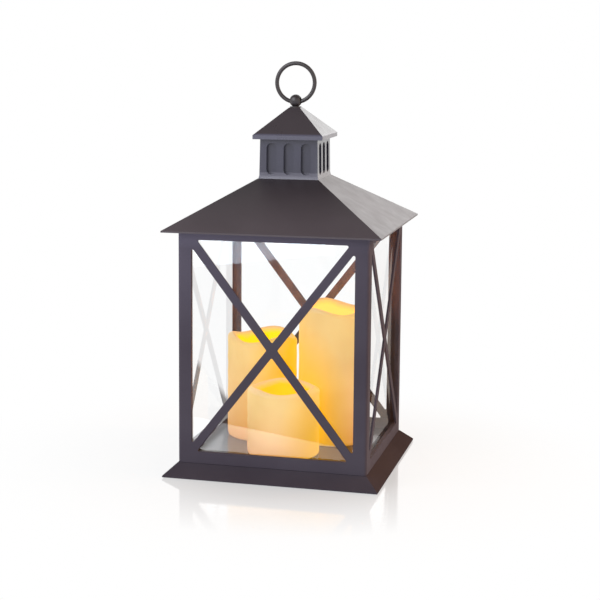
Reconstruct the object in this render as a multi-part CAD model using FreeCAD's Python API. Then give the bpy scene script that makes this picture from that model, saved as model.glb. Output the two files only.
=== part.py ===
import FreeCAD, Part
import math
import os

from FreeCAD import Vector

# Led candle lantern. Millimetres, +Z up, origin on the standing plane under the middle of the base.
# The front side faces -Y. Side frames, panes and screws repeat by quarter turns about Z.

os.makedirs("parts", exist_ok=True)

# How far a cutting shape runs past the face that it opens
PAST = 1.0

# How near a height an edge must be to lie on it, and how upright an edge must run to count as upright
SAME_HEIGHT = 0.01
UPRIGHT = 0.5

# Standing plane and plinth
FOOT_PROUD = 1.0
PLINTH_FLARE = 13.5
PLINTH_HEIGHT = 13.5
PLINTH_LIP = 1.5
PLINTH_WALL = 3.4
LEDGE_THICK = 2.5
LEDGE_WIDTH = 13.5

# Glazed body
BODY_HALF = 97.5
BODY_HEIGHT = 238.0
FRAME_THICK = 6.0
FRAME_SEAM = 0.5
CORNER_ROUND = 3.0
POST_WIDTH = 14.0
TOP_RAIL = 7.9
BOTTOM_RAIL = 12.4
BRACE_WIDTH = 8.5
BRACE_THICK = 2.0
WINDOW_ROUND = 1.5
PANE_THICK = 1.5
PANE_REBATE = 1.6
PANE_LAP = 5.0
PANE_CLEAR = 0.3

# Main roof
EAVE_OVERHANG = 13.9
EAVE_LIP = 1.6
EAVE_WIDTH = 5.7
ROOF_RISE = 49.0
ROOF_TOP_MARGIN = 0.5
ROOF_WALL = 2.2
ROOF_HOLE_HALF = 20.0
ROOF_BOSS_IN = 17.5
BOSS_DIA = 7.0
CEILING_THICK = 2.0
CEILING_CLEAR = 0.3

# Vent turret with three blind round-ended slots on each side
TURRET_FOOT_HALF = 31.5
TURRET_HALF_LOW = 30.6
TURRET_HALF_HIGH = 30.0
TURRET_BAND = 3.4
TURRET_HEIGHT = 40.6
TURRET_WALL = 6.4
TURRET_TOP = 2.5
TURRET_HOLE_HALF = 12.0
TURRET_SCREW_IN = 5.4
SLOT_COUNT = 3
SLOT_WIDTH = 10.4
SLOT_HEIGHT = 32.2
SLOT_PITCH = 18.0
SLOT_DEPTH = 4.5
SLOT_ABOVE_BAND = 1.0

# Cap roof, finial and hanging ring
CAP_OVERHANG = 6.5
CAP_FASCIA = 4.1
CAP_RISE = 27.1
CAP_TOP_HALF = 5.8
CAP_WALL = 2.0
CAP_TOP_THICK = 3.0
CAP_BOSS_OUT = 5.5
CAP_BOSS_HEIGHT = 8.0
COLLAR_DIA = 12.0
COLLAR_THICK = 1.0
BALL_DIA = 13.0
BALL_SINK = 0.7
BALL_HOLE_DIA = 7.4
NECK_DIA = 6.5
STUD_DIA = 4.0
STUD_PAST_NUT = 1.0
NUT_FLATS = 7.0
NUT_THICK = 3.0
WASHER_DIA = 9.0
WASHER_THICK = 0.8
RING_OUTER_DIA = 43.9
RING_WIRE_DIA = 4.2
RING_HOLE_CLEAR = 0.3

# Deck and candles
DECK_THICK = 2.5
DECK_CLEAR = 0.3
DECK_EDGE_ROUND = 0.6
HOOK_WIDTH = 10.0
HOOK_THICK = 1.6
HOOK_BARB = 1.0
HOOK_CLEAR = 0.1
LEAD_HOLE_DIA = 8.0
CANDLE_DIA = 75.0
CANDLE_FOOT_ROUND = 4.0
WAX_WALL = 4.5
WELL_DEPTH = 20.0
WELL_DRAFT = 6.0
WELL_FLOOR = 3.0
HOLDER_THICK = 3.0
HOLDER_CLEAR = 0.3
HOLDER_BOSS = 2.0
STALK_DIA = 12.0
LED_DIA = 8.0
LED_FLANGE_DIA = 10.0
LED_FLANGE_THICK = 1.2
LED_LENGTH = 11.0
LED_HOLE_CLEAR = 0.2
# Each candle: its place and height, the melted rim's drops below that height at even steps across the
# candle from its low side, the angle from +X that they run towards, and the line of its two screws
CANDLES = {
    "small": {
        "place": (-0.7, -42.4),
        "height": 72.5,
        "drops": (2.4, 0.8, 1.6, 0.4, 0.0),
        "towards": 100.0,
        "screws": "x",
    },
    "medium": {
        "place": (-41.6, 29.5),
        "height": 114.0,
        "drops": (5.6, 4.2, 1.4, 0.2, 0.8),
        "towards": 70.0,
        "screws": "y",
    },
    "tall": {
        "place": (36.6, 31.0),
        "height": 148.0,
        "drops": (5.6, 4.4, 1.8, 0.2, 0.6),
        "towards": 110.0,
        "screws": "y",
    },
}
CANDLE_SCREW_AT = 20.0
RIM_SPAN = 85.0

# Bottom cover with the battery bay
COVER_IN = 4.0
COVER_THICK = 2.0
COVER_RECESS = 0.2
COVER_CLEAR = 0.3
COVER_SCREW_IN = 13.5
COVER_CUP_DEPTH = 2.0
FOOT_IN = 11.0
FOOT_DIA = 12.0
FOOT_SEAT = 1.2
FOOT_EDGE = 0.4
BAY_Y = 45.0
BAY_WALL = 1.4
BAY_CLEAR = 0.2
CELL_DIA = 10.5
CELL_LENGTH = 44.5
CELL_EDGE = 0.5
CELL_NUB_DIA = 3.8
CELL_NUB_LENGTH = 0.8
CELL_PITCH = 11.0
CELL_COUNT = 3
CELL_OVER_DOOR = 0.3
CONTACT_SHEET = 0.3
CONTACT_WIDTH = 8.0
CONTACT_HEIGHT = 8.0
SPRING_REACH = 3.2
SPRING_WIDTH = 5.0
SPRING_GAP = 0.1
SPRING_FREE_END = 1.5
DOOR_CLEAR = 0.3
HINGE_DIA = 3.4
HINGE_PIN_DIA = 1.6
HINGE_PIN_LENGTH = 2.2
HINGE_FIT = 0.08
EAR_THICK = 2.6
EAR_HEIGHT = 2.2
LATCH_WIDTH = 12.0
LATCH_SLIT = 1.0
LATCH_LENGTH = 9.0
THUMB_DIA = 8.0
THUMB_LENGTH = 6.0
THUMB_DEPTH = 1.0
THUMB_IN = 2.0

# Timer board with its three position slide switch
BOARD_LENGTH = 44.0
BOARD_WIDTH = 24.0
BOARD_THICK = 1.6
BOARD_Y = -10.0
BOARD_OVER_COVER = 7.5
BOARD_BOSS_X = 19.0
BOARD_BOSS_Y = 9.0
BOARD_BOSS_DIA = 5.0
SWITCH_LENGTH = 13.0
SWITCH_WIDTH = 5.4
SWITCH_HEIGHT = 3.4
SWITCH_WALL = 0.8
SWITCH_STEP = 3.0
SLIDER_LENGTH = 3.0
SLIDER_WIDTH = 2.6
SLIDER_IN_SWITCH = 2.2
KNOB_LENGTH = 8.0
KNOB_WIDTH = 5.0
KNOB_FLANGE_THICK = 0.9
KNOB_FLANGE_LAP = 1.4
KNOB_CLEAR = 0.2
KNOB_LIFT = 0.05
KNOB_GROOVE_DIA = 1.0
DISH_LENGTH = 30.0
DISH_WIDTH = 14.0
DISH_DEPTH = 1.8
DISH_WALL = 1.4
DISH_ROUND = 3.0
LEAD_DIA = 1.6
LEAD_LIFT = 0.05
LEAD_BEND = 6.0
TAB_WIDTH = 2.0
BATTERY_PAD_X = 10.0
BATTERY_PAD_Y = -3.0
LED_PADS = {"small": (0.0, -17.0), "medium": (-12.0, -4.0), "tall": (12.0, -4.0)}

# Board parts from the middle of the board: x, y, length, width, height; the can has a diameter for a length
CHIP = (-14.0, -4.0, 6.0, 4.0, 1.5)
CRYSTAL = (12.0, -7.0, 6.0, 2.0, 3.0)
CAN = (14.0, 5.5, 4.0, 5.0)

# Fasteners: shank diameter, length under the head, head diameter, head height
SCREW_FIT = 0.05
SMALL_SCREW = (2.0, 6.0, 3.8, 1.3)
RAIL_SCREW = (2.4, 7.5, 4.4, 1.6)
BODY_SCREW = (2.5, 9.0, 4.8, 1.7)
PILOT_SPARE = 0.8
SIDE_SCREW_AT = 55.0
BOTTOM_SCREW_IN = 3.7
TOP_SCREW_IN = 2.2

# Half widths and screw places worked out from the body's half width and the turret's
plinth_half = BODY_HALF + PLINTH_FLARE
cover_half = plinth_half - COVER_IN
foot_at = cover_half - FOOT_IN
cover_screw_at = BODY_HALF - COVER_SCREW_IN
eave_half = BODY_HALF + EAVE_OVERHANG
roof_boss_at = BODY_HALF - ROOF_BOSS_IN
roof_top_half = TURRET_FOOT_HALF + ROOF_TOP_MARGIN
turret_screw_at = TURRET_FOOT_HALF - TURRET_SCREW_IN
cap_half = TURRET_HALF_HIGH + CAP_OVERHANG
cap_boss_at = TURRET_HOLE_HALF + CAP_BOSS_OUT

# Heights worked out from the stack of parts
plinth_bottom = FOOT_PROUD
plinth_top = plinth_bottom + PLINTH_HEIGHT
body_top = plinth_top + BODY_HEIGHT
window_low = plinth_top + BOTTOM_RAIL
window_high = body_top - TOP_RAIL
eave_top = body_top + EAVE_LIP
roof_top = body_top + ROOF_RISE
turret_top = roof_top + TURRET_HEIGHT
fascia_top = turret_top + CAP_FASCIA
cap_top = fascia_top + CAP_RISE
deck_bottom = plinth_top
deck_top = deck_bottom + DECK_THICK
cover_bottom = plinth_bottom + COVER_RECESS
cover_top = cover_bottom + COVER_THICK
board_bottom = cover_top + BOARD_OVER_COVER
board_top = board_bottom + BOARD_THICK
ball_z = cap_top + COLLAR_THICK - BALL_SINK + BALL_DIA / 2


def save(name, shape):
    """Write one node to its own file."""
    shape.exportStep("parts/" + name + ".step")


def box(x0, x1, y0, y1, z0, z1):
    return Part.makeBox(x1 - x0, y1 - y0, z1 - z0, Vector(x0, y0, z0))


def block(x, y, length, width, z0, z1):
    """Box centred over (x, y), with its length along X."""
    return box(x - length / 2, x + length / 2, y - width / 2, y + width / 2, z0, z1)


def rod(x, y, z0, z1, dia):
    return Part.makeCylinder(dia / 2, z1 - z0, Vector(x, y, z0))


def cross_rod(length, y, z, dia):
    """Round bar along X, centred on the YZ plane."""
    return Part.makeCylinder(dia / 2, length, Vector(-length / 2, y, z), Vector(1, 0, 0))


def square_prism(half, z0, z1):
    return box(-half, half, -half, half, z0, z1)


def square_frustum(half_low, z_low, half_high, z_high):
    """Square pyramid stump centred on the Z axis."""
    ways = ((-1, -1), (1, -1), (1, 1), (-1, 1))
    low = [Vector(sx * half_low, sy * half_low, z_low) for sx, sy in ways]
    high = [Vector(sx * half_high, sy * half_high, z_high) for sx, sy in ways]
    outlines = [low, high] + [[low[i - 1], low[i], high[i], high[i - 1]] for i in range(4)]
    faces = [Part.Face(Part.makePolygon(outline + outline[:1])) for outline in outlines]
    return Part.Solid(Part.Shell(faces))


def quarter_turn(shape, turns):
    turned = shape.copy()
    turned.rotate(Vector(0, 0, 0), Vector(0, 0, 1), 90 * turns)
    return turned


def four_ways(shape):
    """The shape repeated on the four sides."""
    return [quarter_turn(shape, turns) for turns in range(4)]


def joined(shapes):
    """One solid from pieces that meet."""
    first, rest = shapes[0], shapes[1:]
    return first.fuse(rest).removeSplitter()


def upright_edges(shape):
    return [edge for edge in shape.Edges if abs(edge.tangentAt(edge.FirstParameter).z) > UPRIGHT]


def rounded_outline(points, radius):
    """Closed wire through the corner points with a tangent arc at each corner."""
    corners = []
    for i, corner in enumerate(points):
        back = (points[i - 1] - corner).normalize()
        ahead = (points[(i + 1) % len(points)] - corner).normalize()
        half_angle = back.getAngle(ahead) / 2
        reach = radius / math.tan(half_angle)
        inward = (back + ahead).normalize()
        middle = corner + inward * (radius / math.sin(half_angle) - radius)
        corners.append((corner + back * reach, middle, corner + ahead * reach))
    edges = []
    for i, (start, middle, end) in enumerate(corners):
        edges.append(Part.Arc(start, middle, end).toShape())
        edges.append(Part.LineSegment(end, corners[(i + 1) % len(corners)][0]).toShape())
    return Part.Wire(edges)


def revolved(outline):
    """Solid of revolution about Z from (radius, height) corners. A corner marked as middle is the middle
    point of the arc that ends at the next corner."""
    edges = []
    here = Vector(outline[0][0], 0, outline[0][1])
    middle = None
    for corner in outline[1:] + outline[:1]:
        point = Vector(corner[0], 0, corner[1])
        if "middle" in corner:
            middle = point
            continue
        if middle is None:
            edges.append(Part.LineSegment(here, point).toShape())
        else:
            edges.append(Part.Arc(here, middle, point).toShape())
        here, middle = point, None
    return Part.Face(Part.Wire(edges)).revolve(Vector(0, 0, 0), Vector(0, 0, 1), 360)


def arc_middle(centre_r, centre_z, radius, degrees):
    """Marked middle point of an arc in a revolved outline."""
    angle = math.radians(degrees)
    return (centre_r + radius * math.cos(angle), centre_z + radius * math.sin(angle), "middle")


def screw(kind, x, y, z, points_up):
    """Screw whose head bears at height z; the shank goes up or down from there."""
    shank, length, head, head_height = kind
    way = 1 if points_up else -1
    head_low, head_high = sorted((z, z - way * head_height))
    shank_low, shank_high = sorted((z, z + way * length))
    return rod(x, y, head_low, head_high, head).fuse(rod(x, y, shank_low, shank_high, shank))


def pilot(kind, x, y, z, points_up):
    """Hole for the shank of a screw, with room past its tip."""
    shank, length = kind[0], kind[1]
    reach = length + PILOT_SPARE
    low = z if points_up else z - reach
    return rod(x, y, low, low + reach, shank + 2 * SCREW_FIT)


def lead(points):
    """Round lead along straight runs joined by arcs."""
    print("lead bend radius %.1f mm" % LEAD_BEND)
    edges = []
    here = points[0]
    for i in range(1, len(points) - 1):
        corner = points[i]
        back = (points[i - 1] - corner).normalize()
        ahead = (points[i + 1] - corner).normalize()
        half_angle = back.getAngle(ahead) / 2
        reach = LEAD_BEND / math.tan(half_angle)
        start, end = corner + back * reach, corner + ahead * reach
        middle = corner + (back + ahead).normalize() * (LEAD_BEND / math.sin(half_angle) - LEAD_BEND)
        edges.append(Part.LineSegment(here, start).toShape())
        edges.append(Part.Arc(start, middle, end).toShape())
        here = end
    edges.append(Part.LineSegment(here, points[-1]).toShape())
    profile = Part.makeCircle(LEAD_DIA / 2, points[0], points[1] - points[0])
    return Part.Wire(edges).makePipeShell([Part.Wire([profile])], True, False)


# Side frames: mitred box wall with a brace pair, a pane rebate and pilot holes

window_half = BODY_HALF - POST_WIDTH
window_mid = (window_low + window_high) / 2
window_rise = (window_high - window_low) / 2
window_diagonal = math.hypot(window_half, window_rise)
brace_on_rail = BRACE_WIDTH / 2 * window_diagonal / window_rise
brace_on_post = BRACE_WIDTH / 2 * window_diagonal / window_half
rebate_y = FRAME_THICK - PANE_REBATE - BODY_HALF
inner_half = BODY_HALF - FRAME_THICK


def window_cuts():
    """The four triangles that the two crossing braces leave open in the front frame."""
    rail_reach = window_half - brace_on_rail
    post_reach = window_rise - brace_on_post
    cuts = []
    for way in (-1, 1):
        above = [(-rail_reach, way * window_rise), (rail_reach, way * window_rise), (0, way * brace_on_post)]
        beside = [(way * window_half, post_reach), (way * window_half, -post_reach), (way * brace_on_rail, 0)]
        for triangle in (above, beside):
            points = [Vector(x, -BODY_HALF - PAST, window_mid + z) for x, z in triangle]
            outline = Part.Face(rounded_outline(points, WINDOW_ROUND))
            cuts.append(outline.extrude(Vector(0, FRAME_THICK + 2 * PAST, 0)))
    return cuts


def side_frame():
    """Front frame: a quarter of a square tube, cut at the corner mitres."""
    tube = square_prism(BODY_HALF, plinth_top, body_top)
    tube = tube.makeFillet(CORNER_ROUND, upright_edges(tube))
    foot = [e for e in tube.Edges if e.BoundBox.ZMax < plinth_top + SAME_HEIGHT]
    tube = tube.makeChamfer(FRAME_SEAM, foot)
    tube = tube.cut(square_prism(inner_half, plinth_top - PAST, body_top + PAST))
    reach = BODY_HALF + PAST
    wedge_outline = [Vector(0, 0, 0), Vector(-reach, -reach, 0), Vector(reach, -reach, 0), Vector(0, 0, 0)]
    wedge = Part.Face(Part.makePolygon(wedge_outline)).extrude(Vector(0, 0, body_top + PAST))
    rebate_half = window_half + PANE_LAP
    rebate = box(
        -rebate_half, rebate_half, rebate_y, PAST - inner_half, window_low - PANE_LAP, window_high + PANE_LAP
    )
    behind_braces = box(
        -window_half, window_half, BRACE_THICK - BODY_HALF, rebate_y + PAST, window_low, window_high
    )
    cuts = window_cuts() + [rebate, behind_braces]
    for x in (-SIDE_SCREW_AT, SIDE_SCREW_AT):
        cuts.append(pilot(BODY_SCREW, x, -BODY_HALF + BOTTOM_SCREW_IN, plinth_top - LEDGE_THICK, True))
        cuts.append(pilot(RAIL_SCREW, x, -BODY_HALF + TOP_SCREW_IN, body_top + CEILING_THICK, False))
    return tube.common(wedge).cut(cuts)


def pane():
    """Clear pane bedded in the rebate of the front frame."""
    half = window_half + PANE_LAP - PANE_CLEAR
    low = window_low - PANE_LAP + PANE_CLEAR
    high = window_high + PANE_LAP - PANE_CLEAR
    return box(-half, half, rebate_y, rebate_y + PANE_THICK, low, high)


# Plinth, cover and deck

flare = PLINTH_FLARE / (PLINTH_HEIGHT - PLINTH_LIP)
cover_edge = cover_half + COVER_CLEAR
ledge_bottom = plinth_top - LEDGE_THICK
ledge_inner = BODY_HALF - LEDGE_WIDTH


def plinth_half_at(z):
    """Half width of the flared outside at a height."""
    return BODY_HALF + (plinth_top - z) * flare


def plinth():
    """Flared skirt, open below, whose top ledge carries the frames and the deck."""
    lip_top = plinth_bottom + PLINTH_LIP
    skirt = square_prism(plinth_half, plinth_bottom, lip_top)
    skirt = joined([skirt, square_frustum(plinth_half, lip_top, BODY_HALF, plinth_top)])
    hollow = square_frustum(
        plinth_half_at(cover_top) - 2 * PLINTH_WALL,
        cover_top,
        plinth_half_at(ledge_bottom) - PLINTH_WALL,
        ledge_bottom,
    )
    skirt = skirt.cut([hollow, square_prism(cover_edge, plinth_bottom - PAST, cover_top)])
    skirt = skirt.cut(square_prism(ledge_inner, ledge_bottom - PAST, plinth_top + PAST))
    corner_boss = rod(cover_screw_at, cover_screw_at, cover_top + COVER_CUP_DEPTH, plinth_top, BOSS_DIA)
    skirt = joined([skirt] + four_ways(corner_boss))
    cuts = four_ways(pilot(BODY_SCREW, cover_screw_at, cover_screw_at, cover_bottom + COVER_CUP_DEPTH, True))
    head_room = BODY_SCREW[2] + 2 * DECK_CLEAR
    shank_room = BODY_SCREW[0] + 2 * SCREW_FIT
    for x in (-SIDE_SCREW_AT, SIDE_SCREW_AT):
        y = -BODY_HALF + BOTTOM_SCREW_IN
        cuts += four_ways(rod(x, y, cover_top, ledge_bottom, head_room))
        cuts += four_ways(rod(x, y, ledge_bottom - PAST, plinth_top + PAST, shank_room))
    return skirt.cut(cuts)


def deck():
    """Floor panel inside the frames, hooked under the ledge on its four sides."""
    panel = square_prism(inner_half - DECK_CLEAR, deck_bottom, deck_top)
    rim = [e for e in panel.Edges if e.BoundBox.ZMin > deck_top - SAME_HEIGHT]
    panel = panel.makeFillet(DECK_EDGE_ROUND, rim)
    leg_out = ledge_inner - DECK_CLEAR
    hook_low = ledge_bottom - 2 * HOOK_BARB
    profile = [
        (-leg_out, deck_bottom),
        (-leg_out, ledge_bottom - HOOK_CLEAR),
        (-leg_out - HOOK_BARB, ledge_bottom - HOOK_CLEAR),
        (-leg_out, hook_low),
        (-leg_out + HOOK_THICK, hook_low),
        (-leg_out + HOOK_THICK, deck_bottom),
    ]
    points = [Vector(-HOOK_WIDTH / 2, y, z) for y, z in profile]
    hook = Part.Face(Part.makePolygon(points + points[:1])).extrude(Vector(HOOK_WIDTH, 0, 0))
    panel = joined([panel] + four_ways(hook))
    cuts = []
    for candle in CANDLES.values():
        x, y = candle["place"]
        cuts.append(rod(x, y, deck_bottom - PAST, deck_top + PAST, LEAD_HOLE_DIA))
        for screw_x, screw_y in candle_screw_places(candle):
            cuts.append(pilot(SMALL_SCREW, screw_x, screw_y, deck_bottom - PAST, True))
    return panel.cut(cuts)


def candle_screw_places(candle):
    x, y = candle["place"]
    if candle["screws"] == "x":
        return [(x - CANDLE_SCREW_AT, y), (x + CANDLE_SCREW_AT, y)]
    return [(x, y - CANDLE_SCREW_AT), (x, y + CANDLE_SCREW_AT)]


# Battery bay, hinged battery door and slide switch, all on the bottom cover

bay_half = (CELL_LENGTH + CONTACT_SHEET + SPRING_REACH) / 2 + BAY_CLEAR
bay_front = BAY_Y - CELL_COUNT * CELL_PITCH / 2
bay_back = BAY_Y + CELL_COUNT * CELL_PITCH / 2
bay_top = deck_bottom - DECK_CLEAR
bay_outside = bay_back + BAY_WALL
door_half = bay_half - DOOR_CLEAR
door_front = bay_front + DOOR_CLEAR
hinge_y = bay_outside + DOOR_CLEAR + HINGE_DIA / 2
hinge_z = cover_bottom + HINGE_DIA / 2
cell_z = cover_top + CELL_OVER_DOOR + CELL_DIA / 2
dish_floor = cover_bottom + DISH_DEPTH
dish_inside = dish_floor + DISH_WALL
slot_half = KNOB_LENGTH / 2 + SWITCH_STEP + KNOB_CLEAR
knob_flange_half = slot_half + SWITCH_STEP + KNOB_FLANGE_LAP
BOARD_BOSSES = [(way * BOARD_BOSS_X, BOARD_Y + way * BOARD_BOSS_Y) for way in (-1, 1)]


def bottom_cover():
    """Plate that closes the plinth: battery bay walls, hinge ears, board bosses and the switch dish."""
    under = cover_bottom - PAST
    bay_width = bay_back - bay_front
    bay_walls = block(0, BAY_Y, 2 * (bay_half + BAY_WALL), bay_width + 2 * BAY_WALL, cover_top, bay_top)
    bay_room = block(0, BAY_Y, 2 * bay_half, bay_width, cover_top - PAST, bay_top + PAST)
    dish_length, dish_width = DISH_LENGTH + 2 * DISH_WALL, DISH_WIDTH + 2 * DISH_WALL
    pieces = [
        square_prism(cover_half, cover_bottom, cover_top),
        bay_walls.cut(bay_room),
        block(0, BOARD_Y, dish_length, dish_width, cover_bottom, dish_inside),
    ]
    ear_x = bay_half + EAR_THICK / 2
    for x in (-ear_x, ear_x):
        pieces.append(block(x, hinge_y, EAR_THICK, HINGE_DIA, cover_bottom, cover_top + EAR_HEIGHT))
    for x, y in BOARD_BOSSES:
        pieces.append(rod(x, y, cover_top, board_bottom, BOARD_BOSS_DIA))
    cup_dia = BODY_SCREW[2] + 2 * COVER_CLEAR
    cup_top = cover_top + COVER_CUP_DEPTH
    pieces += four_ways(rod(cover_screw_at, cover_screw_at, cover_bottom, cup_top, cup_dia + 2 * COVER_THICK))
    cover = joined(pieces)

    door_back = hinge_y + HINGE_DIA / 2 + DOOR_CLEAR
    pin_room = HINGE_PIN_DIA + 2 * HINGE_FIT
    dish = block(0, BOARD_Y, DISH_LENGTH, DISH_WIDTH, under, dish_floor)
    slot_width = KNOB_WIDTH + 2 * KNOB_CLEAR
    cuts = [
        box(-bay_half, bay_half, bay_front, door_back, under, cover_top),
        box(-bay_half, bay_half, bay_outside, door_back, under, cover_top + EAR_HEIGHT),
        box(-bay_half, bay_half, bay_back, bay_outside, under, cover_top + DOOR_CLEAR),
        cross_rod(2 * (bay_half + EAR_THICK), hinge_y, hinge_z, pin_room),
        dish.makeFillet(DISH_ROUND, upright_edges(dish)),
        block(0, BOARD_Y, 2 * slot_half, slot_width, dish_floor - PAST, dish_inside + PAST),
    ]
    cups = (
        rod(foot_at, foot_at, under, cover_bottom + FOOT_SEAT, FOOT_DIA + 2 * COVER_CLEAR),
        rod(cover_screw_at, cover_screw_at, under, cover_bottom + COVER_CUP_DEPTH, cup_dia),
        pilot(BODY_SCREW, cover_screw_at, cover_screw_at, cover_bottom, True),
    )
    for cup in cups:
        cuts += four_ways(cup)
    for x, y in BOARD_BOSSES:
        cuts.append(pilot(SMALL_SCREW, x, y, board_top, False))
    return cover.cut(cuts)


def battery_door():
    """Door with a hinge barrel and pin along its back edge and a latch tongue at its front edge."""
    plate = box(-door_half, door_half, door_front, hinge_y, cover_bottom, cover_top)
    barrel = cross_rod(2 * door_half, hinge_y, hinge_z, HINGE_DIA)
    pin = cross_rod(2 * (door_half + HINGE_PIN_LENGTH), hinge_y, hinge_z, HINGE_PIN_DIA)
    slit_back = door_front + LATCH_LENGTH
    cuts = []
    for middle in (-LATCH_WIDTH / 2, LATCH_WIDTH / 2):
        left, right = middle - LATCH_SLIT / 2, middle + LATCH_SLIT / 2
        cuts.append(box(left, right, door_front - PAST, slit_back, cover_bottom - PAST, cover_top + PAST))
    thumb_z = cover_bottom + THUMB_DEPTH - THUMB_DIA / 2
    cuts.append(cross_rod(THUMB_LENGTH, door_front + THUMB_IN, thumb_z, THUMB_DIA))
    return joined([plate, barrel, pin]).cut(cuts)


def cell(index):
    """One cell, lying along X; neighbours point opposite ways."""
    body_length = CELL_LENGTH - CELL_NUB_LENGTH
    r = CELL_DIA / 2
    outline = [
        (0, 0),
        (r - CELL_EDGE, 0),
        (r, CELL_EDGE),
        (r, body_length - CELL_EDGE),
        (r - CELL_EDGE, body_length),
        (CELL_NUB_DIA / 2, body_length),
        (CELL_NUB_DIA / 2, CELL_LENGTH),
        (0, CELL_LENGTH),
    ]
    solid = revolved(outline)
    direction = cell_direction(index)
    solid.rotate(Vector(0, 0, 0), Vector(0, 1, 0), 90 * direction)
    plate_face = bay_half - CONTACT_SHEET
    solid.translate(Vector(direction * (plate_face - CELL_LENGTH), cell_y(index), cell_z))
    return solid


def cell_direction(index):
    return 1 if index % 2 == 0 else -1


def cell_y(index):
    return BAY_Y + (index - (CELL_COUNT - 1) / 2) * CELL_PITCH


def contact_plate(index):
    """Flat sheet at the button end of a cell."""
    x = cell_direction(index) * (bay_half - CONTACT_SHEET / 2)
    low, high = cell_z - CONTACT_HEIGHT / 2, cell_z + CONTACT_HEIGHT / 2
    return block(x, cell_y(index), CONTACT_SHEET, CONTACT_WIDTH, low, high)


def contact_spring(index):
    """Bowed leaf at the flat end of a cell."""
    end = -cell_direction(index)
    low, high = cell_z - CONTACT_HEIGHT / 2, cell_z + CONTACT_HEIGHT / 2
    y = cell_y(index) - SPRING_WIDTH / 2
    wall = end * bay_half
    tip = wall - end * (SPRING_REACH - SPRING_GAP)
    inner_tip = tip + end * CONTACT_SHEET
    foot = wall - end * CONTACT_SHEET
    free = foot - end * CONTACT_SHEET
    bend_low = high - 2 * CONTACT_SHEET
    free_low = low + SPRING_FREE_END
    free_high = free_low + 2 * CONTACT_SHEET
    places = ((foot, bend_low), (foot, low), (wall, low), (wall, high), (foot, high))
    corners = [Vector(x, y, z) for x, z in places]
    edges = [Part.LineSegment(corners[i], corners[i + 1]).toShape() for i in range(len(corners) - 1)]
    edges.append(Part.Arc(corners[-1], Vector(tip, y, cell_z), Vector(free, y, free_low)).toShape())
    edges.append(Part.LineSegment(Vector(free, y, free_low), Vector(free, y, free_high)).toShape())
    edges.append(Part.Arc(Vector(free, y, free_high), Vector(inner_tip, y, cell_z), corners[0]).toShape())
    return Part.Face(Part.Wire(edges)).extrude(Vector(0, SPRING_WIDTH, 0))


def circuit_board():
    board = block(0, BOARD_Y, BOARD_LENGTH, BOARD_WIDTH, board_bottom, board_top)
    return board.cut([pilot(SMALL_SCREW, x, y, board_top, False) for x, y in BOARD_BOSSES])


def board_components():
    """Timer chip, crystal and capacitor can on the underside of the board."""
    bodies = []
    for x, y, length, width, height in (CHIP, CRYSTAL):
        bodies.append(block(x, BOARD_Y + y, length, width, board_bottom - height, board_bottom))
    x, y, dia, height = CAN
    bodies.append(rod(x, BOARD_Y + y, board_bottom - height, board_bottom, dia))
    return Part.makeCompound(bodies)


def switch_body():
    """Can of the slide switch under the board, open below for its slider."""
    low = board_bottom - SWITCH_HEIGHT
    can = block(0, BOARD_Y, SWITCH_LENGTH, SWITCH_WIDTH, low, board_bottom)
    room_length, room_width = SWITCH_LENGTH - 2 * SWITCH_WALL, SWITCH_WIDTH - 2 * SWITCH_WALL
    return can.cut(block(0, BOARD_Y, room_length, room_width, low - PAST, board_bottom - SWITCH_WALL))


def knob_top():
    return dish_inside + KNOB_LIFT + KNOB_FLANGE_THICK


def switch_slider():
    """Slider between the knob and the switch."""
    top = board_bottom - SWITCH_HEIGHT + SLIDER_IN_SWITCH
    return block(0, BOARD_Y, SLIDER_LENGTH, SLIDER_WIDTH, knob_top(), top)


def switch_knob():
    """Ribbed thumb piece in the dish, kept in by the flange above its slot."""
    thumb = block(0, BOARD_Y, KNOB_LENGTH, KNOB_WIDTH, cover_bottom + KNOB_CLEAR, knob_top())
    flange_width = KNOB_WIDTH + 2 * KNOB_FLANGE_LAP
    flange = block(0, BOARD_Y, 2 * knob_flange_half, flange_width, dish_inside + KNOB_LIFT, knob_top())
    grooves = []
    for step in (-1, 0, 1):
        start = Vector(step * KNOB_LENGTH / 4, BOARD_Y - KNOB_WIDTH, cover_bottom + KNOB_CLEAR)
        grooves.append(Part.makeCylinder(KNOB_GROOVE_DIA / 2, 2 * KNOB_WIDTH, start, Vector(0, 1, 0)))
    return joined([thumb, flange]).cut(grooves)


# Candles: wax shell with a melted rim, holder with a stalk, and the led on the stalk

candle_radius = CANDLE_DIA / 2
hollow_radius = candle_radius - WAX_WALL


def rim_block(candle):
    """Everything under a smooth wave that runs across a candle standing on the Z axis."""
    span = RIM_SPAN / 2
    drops = candle["drops"]
    top = deck_top + candle["height"]
    step = RIM_SPAN / (len(drops) - 1)
    points = [Vector(i * step - span, -span, top - drop) for i, drop in enumerate(drops)]
    crest = Part.BSplineCurve()
    crest.interpolate(points)
    first, last = points[0], points[-1]
    low = deck_top - PAST
    under_first, under_last = Vector(first.x, first.y, low), Vector(last.x, last.y, low)
    edges = [
        crest.toShape(),
        Part.LineSegment(last, under_last).toShape(),
        Part.LineSegment(under_last, under_first).toShape(),
        Part.LineSegment(under_first, first).toShape(),
    ]
    under_wave = Part.Face(Part.Wire(edges)).extrude(Vector(0, RIM_SPAN, 0))
    under_wave.rotate(Vector(0, 0, 0), Vector(0, 0, 1), candle["towards"])
    return under_wave


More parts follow.
